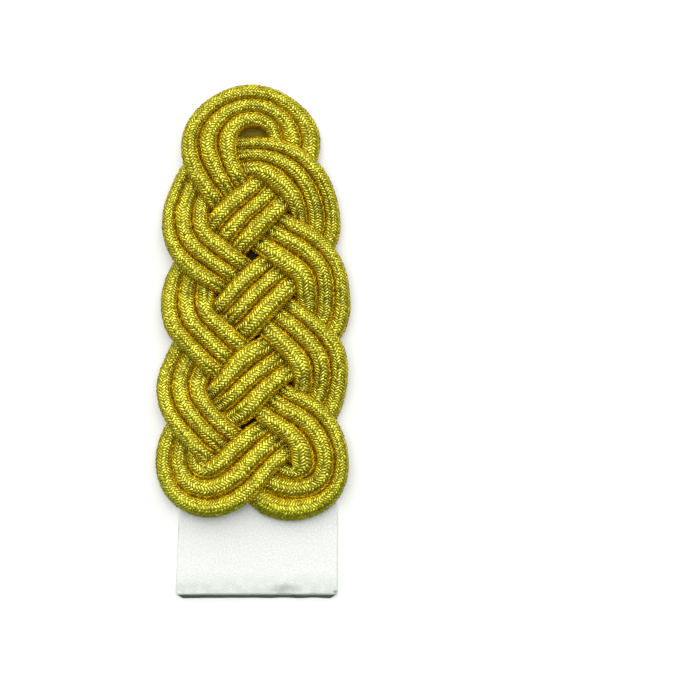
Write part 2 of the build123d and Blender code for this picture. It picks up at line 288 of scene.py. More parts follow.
# The route of the band in the order in which it is plaited. across and along are shares of the
# knot's width and length. left, middle and right are the widths that show of the three cords,
# seen along the route, as shares of the room of one cord.
Station = namedtuple("Station", "place level across along left middle right")
ROUTE = [
    Station("loop_top", "", 0.000, 0.452, 1.02, 0.89, 0.92),
    Station("loop_northwest", "", -0.155, 0.426, 1.16, 1.06, 0.93),
    Station("loop_west", "", -0.227, 0.372, 1.36, 1.36, 1.09),
    Station("left_1", "over", -0.206, 0.323, 1.16, 1.26, 1.30),
    Station("left_1_leaving", "", -0.135, 0.264, 1.09, 1.02, 1.23),
    Station("centre_1", "under", -0.026, 0.203, 1.09, 1.09, 1.09),
    Station("centre_1_leaving", "", 0.115, 0.161, 0.95, 1.09, 1.36),
    Station("right_2", "over", 0.271, 0.120, 0.95, 1.16, 1.57),
    Station("lobe_right_2_start", "", 0.359, 0.080, 0.88, 1.16, 1.50),
    Station("lobe_right_2", "", 0.387, 0.016, 1.00, 1.16, 1.50),
    Station("lobe_right_2_end", "", 0.372, -0.037, 1.10, 1.09, 1.25),
    Station("right_3", "under", 0.286, -0.085, 1.09, 1.09, 1.09),
    Station("centre_3", "over", 0.000, -0.174, 1.36, 1.12, 1.50),
    Station("centre_3_leaving", "", -0.089, -0.212, 1.50, 1.12, 1.16),
    Station("left_4", "under", -0.279, -0.279, 1.09, 1.09, 1.09),
    Station("lobe_left_4", "", -0.381, -0.369, 1.16, 1.09, 0.99),
    Station("foot_left_corner", "", -0.339, -0.411, 1.30, 1.23, 1.12),
    Station("foot_left", "", -0.240, -0.430, 1.20, 1.36, 1.26),
    Station("foot_left_leaving", "", -0.122, -0.413, 1.30, 1.36, 1.30),
    Station("centre_4", "over", -0.021, -0.373, 1.30, 1.36, 1.16),
    Station("centre_4_leaving", "", 0.073, -0.334, 1.22, 1.30, 1.02),
    Station("right_4", "under", 0.270, -0.270, 1.09, 1.09, 1.25),
    Station("lobe_right_3_start", "", 0.355, -0.203, 1.30, 1.16, 1.12),
    Station("lobe_right_3", "", 0.366, -0.162, 1.42, 1.23, 1.12),
    Station("lobe_right_3_end", "", 0.346, -0.121, 1.55, 1.23, 1.18),
    Station("right_3", "over", 0.286, -0.085, 1.50, 1.23, 0.95),
    Station("right_3_leaving", "", 0.161, -0.037, 1.36, 1.16, 0.89),
    Station("centre_2", "under", 0.010, 0.017, 1.09, 1.09, 1.09),
    Station("centre_2_leaving", "", -0.096, 0.057, 0.95, 1.09, 1.06),
    Station("left_2", "over", -0.232, 0.101, 1.30, 1.06, 1.16),
    Station("lobe_left_1_start", "", -0.333, 0.147, 1.02, 1.16, 1.09),
    Station("lobe_left_1", "", -0.357, 0.193, 0.78, 1.23, 1.09),
    Station("lobe_left_1_end", "", -0.334, 0.240, 0.74, 1.12, 1.02),
    Station("left_1", "under", -0.196, 0.323, 0.75, 1.09, 1.09),
    Station("top_strand_start", "", -0.052, 0.337, 0.75, 0.89, 1.16),
    Station("top_strand", "", 0.052, 0.337, 0.78, 0.82, 1.23),
    Station("right_1", "over", 0.182, 0.316, 0.89, 1.02, 1.50),
    Station("lobe_right_1_start", "", 0.289, 0.266, 0.97, 1.12, 1.30),
    Station("lobe_right_1", "", 0.333, 0.207, 0.92, 1.23, 1.09),
    Station("lobe_right_1_end", "", 0.330, 0.161, 1.02, 1.16, 1.09),
    Station("right_2", "under", 0.271, 0.120, 1.09, 1.09, 1.09),
    Station("centre_2", "over", 0.010, 0.017, 1.50, 1.09, 1.23),
    Station("centre_2_end", "", -0.104, -0.035, 1.50, 1.09, 1.09),
    Station("left_3", "under", -0.234, -0.083, 1.09, 1.09, 1.09),
    Station("lobe_left_3_start", "", -0.352, -0.152, 1.42, 1.16, 0.86),
    Station("lobe_left_3", "", -0.375, -0.199, 1.30, 1.16, 0.99),
    Station("lobe_left_3_end", "", -0.336, -0.246, 1.09, 1.23, 1.09),
    Station("left_4", "over", -0.279, -0.279, 1.09, 1.12, 1.23),
    Station("left_4_leaving", "", -0.182, -0.322, 1.09, 1.16, 1.16),
    Station("centre_4", "under", -0.021, -0.373, 1.09, 1.09, 1.09),
    Station("foot_right_start", "", 0.120, -0.421, 1.02, 1.36, 1.43),
    Station("foot_right", "", 0.245, -0.429, 1.02, 1.30, 1.47),
    Station("foot_right_corner", "", 0.346, -0.412, 1.75, 1.36, 1.12),
    Station("lobe_right_4", "", 0.383, -0.364, 1.80, 1.33, 0.89),
    Station("lobe_right_4_end", "", 0.350, -0.312, 1.60, 1.30, 0.95),
    Station("right_4", "over", 0.268, -0.270, 1.36, 1.30, 0.95),
    Station("right_4_leaving", "", 0.130, -0.232, 1.23, 1.16, 0.89),
    Station("centre_3", "under", 0.000, -0.174, 1.09, 1.09, 1.09),
    Station("centre_3_end", "", -0.133, -0.126, 1.23, 1.19, 1.19),
    Station("left_3", "over", -0.234, -0.083, 1.23, 1.16, 1.16),
    Station("lobe_left_2_start", "", -0.320, -0.040, 1.23, 1.19, 1.16),
    Station("lobe_left_2", "", -0.341, 0.011, 1.09, 1.16, 1.42),
    Station("lobe_left_2_end", "", -0.326, 0.048, 0.95, 1.09, 1.36),
    Station("left_2", "under", -0.232, 0.101, 1.09, 1.09, 1.09),
    Station("centre_1_start", "", -0.094, 0.172, 1.23, 1.16, 1.30),
    Station("centre_1", "over", -0.026, 0.203, 1.30, 1.06, 1.36),
    Station("centre_1_end", "", 0.062, 0.238, 1.16, 1.02, 1.23),
    Station("right_1", "under", 0.182, 0.316, 1.09, 1.09, 1.25),
    Station("loop_east", "", 0.209, 0.376, 1.02, 1.26, 1.20),
    Station("loop_northeast", "", 0.141, 0.431, 1.02, 0.99, 0.86),
]

# How finely the route is followed: the pieces of a stretch between two stations, and the distance
# between the points of a cord's line in millimetres
STRETCH_PIECES = 16
PATH_STEP = 0.8


def linear(hex_colour):
    """An sRGB hex colour as a linear colour with full alpha."""
    shares = [int(hex_colour[k : k + 2], 16) / 255 for k in (1, 3, 5)]
    return [s / 12.92 if s <= 0.04045 else ((s + 0.055) / 1.055) ** 2.4 for s in shares] + [1.0]


def add(tree, kind, inputs=None, output=0, **settings):
    """Adds a node with its settings. inputs maps its sockets to values or to other sockets. What
    comes back is one of its outputs, or all of them where output is None."""
    node = tree.nodes.new(kind)
    for name, value in settings.items():
        setattr(node, name, value)
    for name, value in (inputs or {}).items():
        socket = node.inputs[name]
        if isinstance(value, bpy.types.NodeSocket):
            tree.links.new(value, socket)
        else:
            socket.default_value = value
    return node.outputs if output is None else node.outputs[output]


def placed(name, data):
    """A new object in the scene."""
    made = bpy.data.objects.new(name, data)
    bpy.context.scene.collection.objects.link(made)
    return made


def smooth_slopes(points):
    """Slopes, per millimetre of chord, of the smooth closed curve through the points."""
    count = len(points)
    chord = np.linalg.norm(np.roll(points, -1, axis=0) - points, axis=1)
    system = np.zeros((count, count))
    wanted = np.zeros(points.shape)
    for here in range(count):
        before, after = chord[here - 1], chord[here]
        following = (here + 1) % count
        system[here, here - 1] = after
        system[here, here] = 2 * (before + after)
        system[here, following] = before
        rise_after = (points[following] - points[here]) * before / after
        rise_before = (points[here] - points[here - 1]) * after / before
        wanted[here] = 3 * (rise_after + rise_before)
    return np.linalg.solve(system, wanted)


class ClosedCurve:
    """A smooth closed curve in plan, whose place is counted in stretches from its first point."""

    def __init__(self, points):
        self.points = points
        self.slopes = smooth_slopes(points)
        self.count = len(points)
        self.fine = (np.arange(self.count * STRETCH_PIECES + 1) + 0.5) / STRETCH_PIECES
        self.polyline = self.at(self.fine)
        pieces = np.linalg.norm(np.diff(self.polyline, axis=0), axis=1)
        self.run = np.concatenate([[0], np.cumsum(pieces)])
        self.length = self.run[-1]

    def at(self, places):
        """The points at the places."""
        places = np.asarray(places)
        stretch = np.floor(places).astype(int) % self.count
        share = (places - np.floor(places))[:, None]
        following = (stretch + 1) % self.count
        start, end = self.points[stretch], self.points[following]
        chord = np.linalg.norm(end - start, axis=1)[:, None]
        leave, arrive = self.slopes[stretch] * chord, self.slopes[following] * chord
        bend = 2 * start - 2 * end + leave + arrive
        lean = 3 * end - 3 * start - 2 * leave - arrive
        return ((bend * share + lean) * share + leave) * share + start

    def distance(self, place):
        """Millimetres along the curve to a place."""
        first = self.fine[0]
        return np.interp((place - first) % self.count + first, self.fine, self.run)

    def place(self, distance):
        """The place that lies a number of millimetres along the curve."""
        return np.interp(distance % self.length, self.run, self.fine)


def cross_product(one, two):
    """How far one turns to the left to become two, for directions in plan."""
    return one[..., 0] * two[..., 1] - one[..., 1] * two[..., 0]


def crossing_places(first, second):
    """Pairs of places where two curves, or one curve and itself, cross in plan."""
    start, step = first.polyline[:-1], np.diff(first.polyline, axis=0)
    other, stride = second.polyline[:-1], np.diff(second.polyline, axis=0)
    between = other[None] - start[:, None]
    turn = cross_product(step[:, None], stride[None])
    with np.errstate(divide="ignore", invalid="ignore"):
        share = cross_product(between, stride[None]) / turn
        other_share = cross_product(between, step[:, None]) / turn
    hit = (share >= 0) & (share < 1) & (other_share >= 0) & (other_share < 1)
    pairs = []
    for here, there in zip(*np.nonzero(hit)):
        apart = abs(int(here) - int(there))
        neighbours = first is second and min(apart, len(start) - apart) < 3
        if neighbours or (first is second and here > there):
            continue
        here_place = (here + 0.5 + share[here, there]) / STRETCH_PIECES
        there_place = (there + 0.5 + other_share[here, there]) / STRETCH_PIECES
        pairs.append((here_place, there_place))
    return pairs


def level_near(place):
    """Whether the band goes over or under at the crossing nearest to a place."""
    count = len(ROUTE)

    def apart(index):
        return min((index - place) % count, (place - index) % count)

    nearest = min((i for i in range(count) if ROUTE[i].level), key=apart)
    return HIGH_LEVEL if ROUTE[nearest].level == "over" else LOW_LEVEL


def band_curves():
    """The three cords in plan: left, middle and right, seen along the route."""
    middles = np.array(
        [(s.across * KNOT_WIDTH, s.along * KNOT_LENGTH + KNOT_MIDDLE) for s in ROUTE]
    )
    slopes = smooth_slopes(middles)
    headings = slopes / np.linalg.norm(slopes, axis=1)[:, None]
    to_left = np.column_stack([-headings[:, 1], headings[:, 0]])
    left_step = np.array([(s.left + s.middle) / 2 * CORD_ROOM for s in ROUTE])[:, None]
    right_step = np.array([(s.right + s.middle) / 2 * CORD_ROOM for s in ROUTE])[:, None]
    return [
        ClosedCurve(middles + to_left * left_step),
        ClosedCurve(middles),
        ClosedCurve(middles - to_left * right_step),
    ]


def cord_levels(curves):
    """For each cord, a sorted list of its crossings as (millimetres along it, height there)."""
    levels = [[] for _ in curves]
    for one in range(len(curves)):
        for two in range(one, len(curves)):
            for here, there in crossing_places(curves[one], curves[two]):
                levels[one].append((curves[one].distance(here), level_near(here)))
                levels[two].append((curves[two].distance(there), level_near(there)))
    return [sorted(found) for found in levels]


def heights(distances, crossings, length):
    """Heights of a cord's middle: level at its crossings, with climbs where the level changes."""
    result = np.zeros(len(distances))
    for index, (start, low) in enumerate(crossings):
        end, high = crossings[(index + 1) % len(crossings)]
        run = (end - start) % length
        beyond = (distances - start) % length
        inside = beyond <= run
        share = beyond[inside] / run
        slope = 2 * math.atan2(abs(high - low), run)
        if high == low:
            result[inside] = low
            continue
        radius = run / (2 * math.sin(slope))
        near = np.minimum(share, 1 - share) * run
        climb = radius - np.sqrt(radius**2 - near**2)
        climb = np.where(share < 0.5, climb, abs(high - low) - climb)
        result[inside] = low + climb * np.sign(high - low)
    return result


def shaded_rim_flank(plan, open_side):
    """Which flank of a cord is on the rim of the knot, 1 for its right one, -1 for its left one and
    0 for neither, as a weight for the olive painted shade it gets there. It is larger around the
    foot loops, which face down, away from the light."""
    ahead = np.roll(plan, -1, axis=0) - np.roll(plan, 1, axis=0)
    ahead /= np.linalg.norm(ahead, axis=1)[:, None]
    to_right = np.column_stack([ahead[:, 1], -ahead[:, 0]])
    low, high = KNOT_MIDDLE - SPINE_DOWN * KNOT_LENGTH, KNOT_MIDDLE + SPINE_UP * KNOT_LENGTH
    outward = np.column_stack([plan[:, 0], plan[:, 1] - np.clip(plan[:, 1], low, high)])
    reach = np.linalg.norm(outward, axis=1)
    outward /= reach[:, None]
    facing = (to_right * outward).sum(axis=1) * open_side
    faces_out = np.clip((facing - RIM_FACING) / RIM_FACING, 0, 1)
    far_out = np.clip((reach - RIM_REACH) / RIM_FADE, 0, 1)
    downward = np.clip(-outward[:, 1], 0, 1)
    return open_side * faces_out * far_out * (1 + FOOT_SHADE_GAIN * downward)


def cord_path(curve, crossings, widths, open_side):
    """A closed line along the middle of a cord. Each of its points has the half width and half
    height of the section there, and which flank is on the rim of the knot and gets painted shade."""
    count = int(curve.length / PATH_STEP)
    distances = np.arange(count) * curve.length / count
    places = curve.place(distances)
    plan = curve.at(places)
    height = heights(distances, crossings, curve.length)
    stations = len(ROUTE)
    widths = np.concatenate([widths, widths[:1]])
    width = np.interp(places % stations, np.arange(stations + 1), widths) * CORD_ROOM
    pressed = np.clip((HIGH_LEVEL - height) / LEVEL_STEP, 0, 1)
    half_width = width / 2 * (1 + PRESSED_WIDER * pressed)
    half_height = np.full(count, CORD_HEIGHT / 2)
    section = np.column_stack([half_width * MM, half_height * MM, shaded_rim_flank(plan, open_side)])
    return np.column_stack([plan, height]) * MM, section


def line_object(name, points, section):
    """A closed line of edges whose points carry what cord_path gives for the section."""
    mesh = bpy.data.meshes.new(name)
    count = len(points)
    edges = [(k, (k + 1) % count) for k in range(count)]
    mesh.from_pydata([tuple(p) for p in points], edges, [])
    attribute = mesh.attributes.new("section", "FLOAT_VECTOR", "POINT")
    attribute.data.foreach_set("vector", section.ravel())
    return placed(name, mesh)


def one_float(tree):
    """One float of the braid, a flat spindle with blunt ends that lies along x. It is one unit
    long, wide and thick, since every float gets its own size later."""
    half = 0.5
    ball = {"Segments": FLOAT_SIDES, "Rings": FLOAT_RINGS, "Radius": half}
    ball = add(tree, "GeometryNodeMeshUVSphere", ball)
    lying = {"Geometry": ball, "Rotation": (0, math.pi / 2, 0)}
    spindle = add(tree, "GeometryNodeTransform", lying)
    own_place = add(tree, "GeometryNodeInputPosition")
    own = add(tree, SEPARATE, {0: own_place}, None)
    along = add(tree, MATH, {0: own["X"], 1: FLOAT_STRETCH}, operation="MULTIPLY")
    along = add(tree, MATH, {0: along, 1: -half}, operation="MAXIMUM")
    along = add(tree, MATH, {0: along, 1: half}, operation="MINIMUM")
    blunt = add(tree, COMBINE, {"X": along, "Y": own["Y"], "Z": own["Z"]})
    spindle = add(tree, "GeometryNodeSetPosition", {"Geometry": spindle, "Position": blunt})
    place = {"Geometry": spindle, "Name": "float_place", "Value": own_place}
    spindle = add(tree, STORE, place, data_type="FLOAT_VECTOR", domain="POINT")
    thread = {"Geometry": spindle, "Name": "is_thread", "Value": True}
    return add(tree, STORE, thread, data_type="BOOLEAN", domain="FACE")


def flat_floats(tree, given, pitch):
    """The floats of a braid laid out flat: x runs along the cord, y around it and z out of it."""
    number = add(tree, "GeometryNodeInputIndex")
    row = add(tree, MATH, {0: number, 1: given["Columns"]}, operation="DIVIDE")
    row = add(tree, MATH, {0: row}, operation="FLOOR")
    column = add(tree, MATH, {0: number, 1: given["Columns"]}, operation="FLOORED_MODULO")
    odd = add(tree, MATH, {0: column, 1: 2.0}, operation="FLOORED_MODULO")
    along = add(tree, MATH, {0: odd, 1: 0.5, 2: row}, operation="MULTIPLY_ADD")
    along = add(tree, MATH, {0: along, 1: pitch}, operation="MULTIPLY")
    across = add(tree, MATH, {0: column, 1: given["Column width"]}, operation="MULTIPLY")
    place = add(tree, COMBINE, {"X": along, "Y": across})
    count = add(tree, MATH, {0: given["Rows"], 1: given["Columns"]}, operation="MULTIPLY")
    spots = add(tree, "GeometryNodePoints", {"Count": count, "Position": place})

    # Chance moves each float a little, and every second column leans the other way.
    seed = add(tree, MATH, {0: given["Seed"], 1: SLACK_SEED_STEP}, operation="ADD")
    draw = {0: (-1, -1, -1), 1: (1, 1, 1), "Seed": seed}
    slack = add(tree, "FunctionNodeRandomValue", draw, data_type="FLOAT_VECTOR")
    loose = add(tree, SEPARATE, {0: slack}, None)
    lean = {0: loose["X"], 1: given["Slack"], 2: given["Lean"]}
    lean = add(tree, MATH, lean, operation="MULTIPLY_ADD")
    to_side = add(tree, MATH, {0: odd, 1: -2.0, 2: 1.0}, operation="MULTIPLY_ADD")
    lean = add(tree, MATH, {0: lean, 1: to_side}, operation="MULTIPLY")
    tilt = add(tree, MATH, {0: loose["Y"], 1: given["Slack"]}, operation="MULTIPLY")
    turn = add(tree, COMBINE, {"Y": tilt, "Z": lean})
    size = {"X": given["Float length"], "Y": given["Float width"], "Z": given["Float thickness"]}
    size = add(tree, COMBINE, size)
    swell = {0: slack, 1: FLOAT_SWELL, 2: (1, 1, 1)}
    swell = add(tree, VECTOR_MATH, swell, operation="MULTIPLY_ADD")
    size = add(tree, VECTOR_MATH, {0: size, 1: swell}, operation="MULTIPLY")

    # Floats lie flatter on the flanks, where the cords are pressed against each other.
    around = add(tree, MATH, {0: column, 1: given["Columns"]}, operation="DIVIDE")
    around = add(tree, MATH, {0: around, 1: 2 * math.pi}, operation="MULTIPLY")
    upward = add(tree, MATH, {0: around}, operation="SINE")
    thickness = {0: upward, 1: FLANK_TOP, 2: CROWN_FOOT, 3: FLANK_THICKNESS}
    thickness = add(tree, MAP_RANGE, thickness)
    pressed = add(tree, COMBINE, {"X": 1.0, "Y": 1.0, "Z": thickness})
    size = add(tree, VECTOR_MATH, {0: size, 1: pressed}, operation="MULTIPLY")
    laid = {"Points": spots, "Instance": one_float(tree), "Rotation": turn, "Scale": size}
    floats = add(tree, "GeometryNodeInstanceOnPoints", laid)
    tone = add(tree, "FunctionNodeRandomValue", {2: 0.0, 3: 1.0, "Seed": given["Seed"]}, 1)
    for name, value in (("float_tone", tone), ("float_lean", lean)):
        stored = {"Geometry": floats, "Name": name, "Value": value}
        floats = add(tree, STORE, stored, data_type="FLOAT", domain="INSTANCE")
    return add(tree, "GeometryNodeRealizeInstances", {"Geometry": floats})


def flat_core(tree, given, length, around):
    """The body of the cord laid out flat, as a sheet a little below the floats."""
    rows = add(tree, MATH, {0: given["Rows"], 1: 1.0}, operation="ADD")
    columns = add(tree, MATH, {0: given["Columns"], 1: 1.0}, operation="ADD")
    sheet = {"Size X": length, "Size Y": around, "Vertices X": rows, "Vertices Y": columns}
    sheet = add(tree, "GeometryNodeMeshGrid", sheet)
    along = add(tree, MATH, {0: length, 1: 0.5}, operation="MULTIPLY")
    across = add(tree, MATH, {0: around, 1: 0.5}, operation="MULTIPLY")
    down = add(tree, MATH, {0: given["Core sink"], 1: -1.0}, operation="MULTIPLY")
    corner = add(tree, COMBINE, {"X": along, "Y": across, "Z": down})
    return add(tree, "GeometryNodeTransform", {"Geometry": sheet, "Translation": corner})


def braid_tree():
    """Geometry nodes that cover a closed line with a round braid: its floats and its core are
    laid out flat, and then wrapped around the line."""
    tree = bpy.data.node_groups.new("round braid over a path", "GeometryNodeTree")
    sockets = tree.interface
    sockets.new_socket("Path", in_out="INPUT", socket_type="NodeSocketGeometry")
    for name, kind, _ in BRAID_INPUTS:
        sockets.new_socket(name, in_out="INPUT", socket_type=f"NodeSocket{kind}")
    sockets.new_socket("Braid", in_out="OUTPUT", socket_type="NodeSocketGeometry")
    given = add(tree, "NodeGroupInput", output=None)
    line = add(tree, "GeometryNodeMeshToCurve", {"Mesh": given["Path"]})
    line = add(tree, "GeometryNodeSetCurveNormal", {"Curve": line}, mode="Z_UP")
    length = add(tree, "GeometryNodeCurveLength", {"Curve": line})
    pitch = add(tree, MATH, {0: length, 1: given["Rows"]}, operation="DIVIDE")
    around = {0: given["Columns"], 1: given["Column width"]}
    around = add(tree, MATH, around, operation="MULTIPLY")
    floats = flat_floats(tree, given, pitch)
    core = flat_core(tree, given, length, around)
    flat = add(tree, "GeometryNodeJoinGeometry")
    tree.links.new(core, flat.node.inputs[0])
    tree.links.new(floats, flat.node.inputs[0])

    # Where each place of the flat braid goes, by the two directions of the cord's section
    flat_place = add(tree, "GeometryNodeInputPosition")
    parts = add(tree, SEPARATE, {0: flat_place}, None)
    section = add(tree, STORED, {"Name": "section"}, data_type="FLOAT_VECTOR")
    along = add(tree, MATH, {0: parts["X"], 1: length}, operation="FLOORED_MODULO")
    where = {"Curves": line, "Value": section, "Length": along}
    reading = {"mode": "LENGTH", "data_type": "FLOAT_VECTOR"}
    found = add(tree, "GeometryNodeSampleCurve", where, None, **reading)
    sideways, ahead = found["Normal"], found["Tangent"]
    up = add(tree, VECTOR_MATH, {0: sideways, 1: ahead}, operation="CROSS_PRODUCT")
    half = add(tree, SEPARATE, {0: found["Value"]}, None)
    angle = add(tree, MATH, {0: parts["Y"], 1: around}, operation="DIVIDE")
    angle = add(tree, MATH, {0: angle, 1: 2 * math.pi}, operation="MULTIPLY")
    cosine = add(tree, MATH, {0: angle}, operation="COSINE")
    sine = add(tree, MATH, {0: angle}, operation="SINE")
    steps = []
    for direction, half_size, share in ((sideways, half["X"], cosine), (up, half["Y"], sine)):
        reach = add(tree, MATH, {0: half_size, 1: parts["Z"]}, operation="ADD")
        reach = add(tree, MATH, {0: share, 1: reach}, operation="MULTIPLY")
        steps.append(add(tree, VECTOR_MATH, {0: direction, "Scale": reach}, operation="SCALE"))
    step = add(tree, VECTOR_MATH, {0: steps[0], 1: steps[1]}, operation="ADD")
    reached = add(tree, VECTOR_MATH, {0: found["Position"], 1: step}, operation="ADD")

    # The direction across each thread, which its glints follow
    lean = add(tree, STORED, {"Name": "float_lean"}, data_type="FLOAT")
    upright = add(tree, MATH, {0: lean}, operation="COSINE")
    leaning = add(tree, MATH, {0: lean}, operation="SINE")
    inward = add(tree, MATH, {0: sine, 1: upright}, operation="MULTIPLY")
    over = add(tree, MATH, {0: cosine, 1: upright}, operation="MULTIPLY")
    inward = add(tree, VECTOR_MATH, {0: sideways, "Scale": inward}, operation="SCALE")
    back = add(tree, VECTOR_MATH, {0: ahead, "Scale": leaning}, operation="SCALE")
    over = add(tree, VECTOR_MATH, {0: up, "Scale": over}, operation="SCALE")
    taken = add(tree, VECTOR_MATH, {0: inward, 1: back}, operation="ADD")
    across_thread = add(tree, VECTOR_MATH, {0: over, 1: taken}, operation="SUBTRACT")

    # How much painted shade a place gets at the rim of the knot: how far it is turned towards the
    # paper, and more at the foot loops
    turned = add(tree, MATH, {0: cosine, 1: half["Z"]}, operation="MULTIPLY")
    foot_shade_extra = add(tree, MATH, {0: half["Z"]}, operation="ABSOLUTE")
    foot_shade_extra = add(tree, MATH, {0: foot_shade_extra, 1: 1.0}, operation="SUBTRACT")
    rim = add(tree, MATH, {0: turned, 1: foot_shade_extra}, operation="ADD")

    # rim carries the weight of the painted shade at the rim of the knot to the materials
    for name, value, data_type in (
        ("braid_place", flat_place, "FLOAT_VECTOR"),
        ("across_thread", across_thread, "FLOAT_VECTOR"),
        ("rim", rim, "FLOAT"),
    ):
        stored = {"Geometry": flat, "Name": name, "Value": value}
        flat = add(tree, STORE, stored, data_type=data_type, domain="POINT")
    wrapped = add(tree, "GeometryNodeSetPosition", {"Geometry": flat, "Position": reached})
    near = {"Geometry": wrapped, "Distance": MERGE_DISTANCE * MM}
    wrapped = add(tree, "GeometryNodeMergeByDistance", near)
    wrapped = add(tree, "GeometryNodeSetShadeSmooth", {"Geometry": wrapped})
    is_thread = add(tree, STORED, {"Name": "is_thread"}, data_type="BOOLEAN")
    whole = add(tree, "GeometryNodeRealizeInstances", {"Geometry": wrapped})
    core_yarn = {"Geometry": whole, "Material": given["Core"]}
    whole = add(tree, "GeometryNodeSetMaterial", core_yarn)
    thread = {"Geometry": whole, "Selection": is_thread, "Material": given["Thread"]}
    whole = add(tree, "GeometryNodeSetMaterial", thread)
    add(tree, "NodeGroupOutput", {0: whole}, None)
    return tree


def plain_mesh_from(made, name):
    """The evaluated object as a plain mesh object, and the first object removed."""
    graph = bpy.context.evaluated_depsgraph_get()
    mesh = bpy.data.meshes.new_from_object(
        made.evaluated_get(graph), preserve_all_data_layers=True, depsgraph=graph
    )
    mesh.name = name
    while None in list(mesh.materials):
        mesh.materials.pop(index=list(mesh.materials).index(None))
    bpy.data.objects.remove(made)
    return placed(name, mesh)


def braided_cord(name, points, section, tree, values):
    """A braided cord along a closed line."""
    made = line_object(name + "_line", points, section)
    modifier = made.modifiers.new("braid", "NODES")
    modifier.node_group = tree
    for item in tree.interface.items_tree:
        if item.in_out == "INPUT" and item.name in values:
            modifier[item.identifier] = values[item.name]
    return plain_mesh_from(made, name)


def new_material(name):
    """An empty node material and its tree."""
    material = bpy.data.materials.new(name)
    material.use_nodes = True
    material.node_tree.nodes.clear()
    return material, material.node_tree


def colour_with_painted_light(tree, colours):
    """The colour of gilt yarn by its place around the cord, with painted light: the given colours
    stand in for bounced light on the flanks and the lit crown, and olive painted shade lies where
    it faces the paper at the rim of the knot."""
    place = add(tree, ATTRIBUTE, None, "Vector", attribute_name="braid_place")
    around = add(tree, SEPARATE, {0: place}, "Y")
    turn_per_metre = 2 * math.pi / (BRAID_COLUMNS * COLUMN_WIDTH * MM)
    turn = add(tree, MATH, {0: around, 1: turn_per_metre}, operation="MULTIPLY")
    upward = add(tree, MATH, {0: turn}, operation="SINE")
    lowest = colours[0][0]
    raised = add(tree, MAP_RANGE, {0: upward, 1: lowest, 2: 1.0})
    ramp = add(tree, "ShaderNodeValToRGB", {0: raised})
    stops = ramp.node.color_ramp.elements
    while len(stops) < len(colours):
        stops.new(0.5)
    for stop, (height, colour) in zip(stops, colours):
        stop.position = (height - lowest) / (1.0 - lowest)
        stop.color = linear(colour)
    # Olive painted shade where the cord faces the paper at the rim of the knot
    rim = add(tree, ATTRIBUTE, None, "Fac", attribute_name="rim")
    rim_shade_share = add(tree, MAP_RANGE, {0: rim, 1: RIM_SHADE_START, 2: RIM_SHADE_FULL})
    mixed = {"Factor": rim_shade_share, 6: ramp, 7: linear(RIM_SHADE_COLOUR)}
    return add(tree, MIX, mixed, 2, data_type="RGBA")


def gilt_yarn():
    """Metallised yarn, as in lurex braid: a thin lacquered metal film around a soft core. Each
    float is a small bright bar of two strands, with painted shade where it dives under the next one
    and along the parting between its strands."""
    material, tree = new_material("gilt metallised yarn")
    tone = add(tree, ATTRIBUTE, None, "Fac", attribute_name="float_tone")
    braid_place = add(tree, ATTRIBUTE, None, "Vector", attribute_name="braid_place")
    height = add(tree, SEPARATE, {0: braid_place}, "Z")
    float_place = add(tree, ATTRIBUTE, None, "Vector", attribute_name="float_place")
    side = add(tree, SEPARATE, {0: float_place}, "Y")
    side = add(tree, MATH, {0: side}, operation="ABSOLUTE")
    place = add(tree, "ShaderNodeTexCoord", None, "Object")
    patches = {"Vector": place, "Scale": 1 / (PATCH_SIZE * MM), "Detail": 2.0}
    patches = add(tree, PATTERN, patches)
    specks = {"Vector": place, "Scale": 1 / (SPECK_SIZE * MM), "Detail": 1.0}
    specks = add(tree, PATTERN, specks)
    shade, sink_shade, parting, worn, uneven = (
        add(tree, MAP_RANGE, dict(enumerate((value, *fade))))
        for value, fade in (
            (tone, TONE),
            (height, SINK_SHADE),
            (side, PARTING_SHADE),
            (patches, PATCHES),
            (specks, SPECKS),
        )
    )
    # The shares are multiplied: random tone, painted shade where the gilt sinks and along the
    # partings, worn patches and specks.
    for share in (sink_shade, parting, worn, uneven):
        shade = add(tree, MATH, {0: shade, 1: share}, operation="MULTIPLY")
    # The gilt's colour with painted light around the cord, mixed towards a dark brown for painted
    # shade and dark tone
    gilt = colour_with_painted_light(tree, THREAD_PAINTED_LIGHT)
    colours = {"Factor": shade, 6: linear(SHADE_AND_DARK_TONE_COLOUR), 7: gilt}
    colour = add(tree, MIX, colours, 2, data_type="RGBA")
    grooves = {"Height": parting, "Strength": 0.5, "Distance": PARTING_DEPTH * MM}
    looks = {
        "Base Color": colour,
        "Metallic": 0.92,
        "Roughness": 0.45,
        "Coat Weight": 0.2,
        "Coat Roughness": 0.12,
        "Normal": add(tree, "ShaderNodeBump", grooves),
        "Tangent": add(tree, ATTRIBUTE, None, "Vector", attribute_name="across_thread"),
        "Anisotropic": 0.5,
    }
    add(tree, OUTPUT, {"Surface": add(tree, PRINCIPLED, looks)}, None)
    return material


def cord_core():
    """The yarn body of the cord, which shows as a duller gold between the floats. Its colour around
    the cord is painted light: bright amber on the flanks for bounced light, and dark olive on the
    crown for the shade between the floats.
    """
    material, tree = new_material("gold yarn core with painted light")
    colour = colour_with_painted_light(tree, CORE_PAINTED_LIGHT)
    looks = {"Base Color": colour, "Metallic": 0.92, "Roughness": 0.55}
    add(tree, OUTPUT, {"Surface": add(tree, PRINCIPLED, looks)}, None)
    return material


